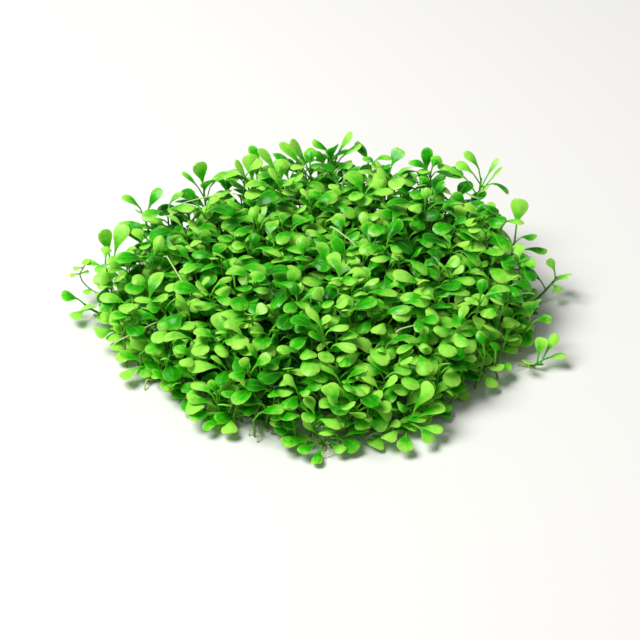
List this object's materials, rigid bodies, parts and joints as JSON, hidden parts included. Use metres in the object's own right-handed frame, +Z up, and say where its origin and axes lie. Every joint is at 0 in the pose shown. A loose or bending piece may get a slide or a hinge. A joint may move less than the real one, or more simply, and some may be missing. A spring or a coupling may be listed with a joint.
{
  "type": "mud mat plant",
  "caption": "Low aquarium carpet plant: a clump of creeping runners, thin upright stems and spoon-shaped leaves, cut off flat at the ground.",
  "frame": {"origin": "middle of the clump's bounding box on the flat ground that the runners rest on", "axes": "+Z up, +X towards the clump's right and along its longest side, -Y towards its front, the side that the picture is taken from"},
  "size_m": [0.1164, 0.0965, 0.0274],
  "materials": {
    "leaf_green": "satin",
    "shoot_lime": "satin"
  },
  "bodies": {
    "root": {"plantlet_01": "leaf_green", "plantlet_02": "leaf_green", "plantlet_03": "leaf_green", "plantlet_04": "leaf_green", "plantlet_05": "leaf_green", "plantlet_06": "leaf_green", "plantlet_07": "leaf_green", "plantlet_08": "leaf_green", "plantlet_09": "leaf_green", "plantlet_10": "leaf_green", "plantlet_11": "leaf_green", "plantlet_12": "leaf_green", "plantlet_13": "leaf_green", "plantlet_14": "leaf_green", "plantlet_15": "leaf_green", "plantlet_16": "leaf_green", "plantlet_17": "leaf_green", "plantlet_18": "leaf_green", "plantlet_19": "leaf_green", "plantlet_20": "leaf_green", "plantlet_21": "leaf_green", "plantlet_22": "leaf_green", "plantlet_23": "leaf_green", "plantlet_24": "leaf_green", "plantlet_25": "leaf_green", "plantlet_26": "leaf_green", "plantlet_28": "leaf_green", "plantlet_29": "leaf_green", "plantlet_30": "leaf_green", "plantlet_31": "leaf_green", "plantlet_32": "leaf_green", "sprig_top_centre": "shoot_lime", "sprig_top_left": "shoot_lime", "sprig_back_left": "shoot_lime", "sprig_back_round": "shoot_lime", "sprig_back_right": "shoot_lime", "sprig_back_tall": "shoot_lime", "sprig_right_back": "shoot_lime", "sprig_right_round": "shoot_lime", "sprig_right_low": "shoot_lime", "sprig_right_front": "shoot_lime", "sprig_right_stalk": "shoot_lime", "sprig_right_rim": "shoot_lime", "sprig_front_right": "shoot_lime", "sprig_front_low": "shoot_lime", "sprig_front": "shoot_lime", "sprig_front_left": "shoot_lime", "sprig_left_front": "shoot_lime", "sprig_left_rim": "shoot_lime", "sprig_left_low": "shoot_lime", "sprig_left_tall": "shoot_lime", "sprig_left_up": "shoot_lime", "sprig_back_hidden": "shoot_lime", "sprig_left_high": "shoot_lime"}
  },
  "joints": []
}
